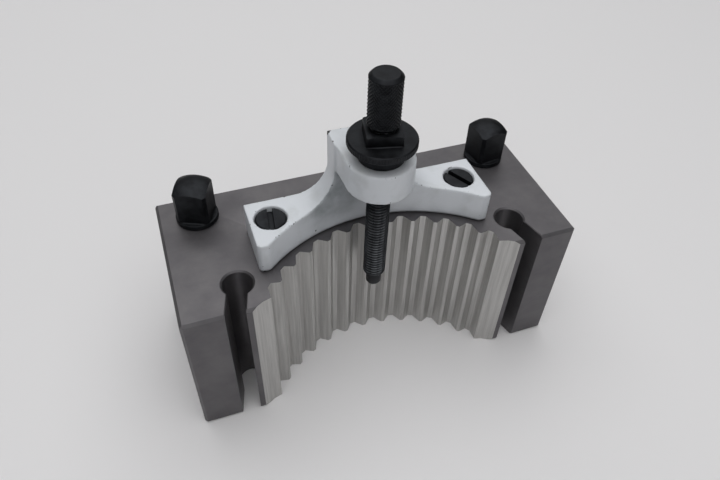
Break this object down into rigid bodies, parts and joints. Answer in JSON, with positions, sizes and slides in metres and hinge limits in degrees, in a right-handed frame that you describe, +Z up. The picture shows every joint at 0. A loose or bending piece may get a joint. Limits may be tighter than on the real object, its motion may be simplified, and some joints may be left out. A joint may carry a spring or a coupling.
{
  "type": "quick change tool post tool holder",
  "caption": "Turning-tool holder for a toothed quick change tool post, with a splined concave seat, keyhole clamping slots, tool slot, clamp screws and a height screw on a cast yoke.",
  "frame": {"origin": "centre of the block's flat bottom face", "axes": "+Z up along the screws, +Y from the toothed seat to the tool slot, +X along the tool shank"},
  "size_m": [0.14, 0.058, 0.1231],
  "materials": {
    "ground_steel": "warm grey phosphate finish on machined steel, with bright freshly cut teeth",
    "white_paint": "thick white paint over a rough casting, chipped at the edges",
    "black_oxide": "oiled black oxide on turned steel"
  },
  "bodies": {
    "block": {"holder_body": "ground_steel", "yoke": "white_paint", "yoke_screw_left": "black_oxide", "yoke_screw_right": "black_oxide"},
    "height_screw": {"height_screw": "black_oxide"},
    "lock_nut": {"lock_nut": "black_oxide"},
    "clamp_screw_left": {"clamp_screw_left": "black_oxide"},
    "clamp_screw_centre": {"clamp_screw_centre": "black_oxide"},
    "clamp_screw_right": {"clamp_screw_right": "black_oxide"}
  },
  "joints": [
    {"name": "height_screw_travel", "type": "slide", "parent": "block", "child": "height_screw", "axis": [0, 0, 1], "range_m": [-0.001, 0.035]},
    {"name": "lock_nut_turn", "type": "hinge", "parent": "block", "child": "lock_nut", "pos_m": [0, -0.0117, 0.095], "axis": [0, 0, 1], "range_deg": [0, 360]},
    {"name": "clamp_left_travel", "type": "slide", "parent": "block", "child": "clamp_screw_left", "axis": [0, 0, 1], "range_m": [0, 0.02]},
    {"name": "clamp_centre_travel", "type": "slide", "parent": "block", "child": "clamp_screw_centre", "axis": [0, 0, 1], "range_m": [0, 0.02]},
    {"name": "clamp_right_travel", "type": "slide", "parent": "block", "child": "clamp_screw_right", "axis": [0, 0, 1], "range_m": [0, 0.02]}
  ]
}
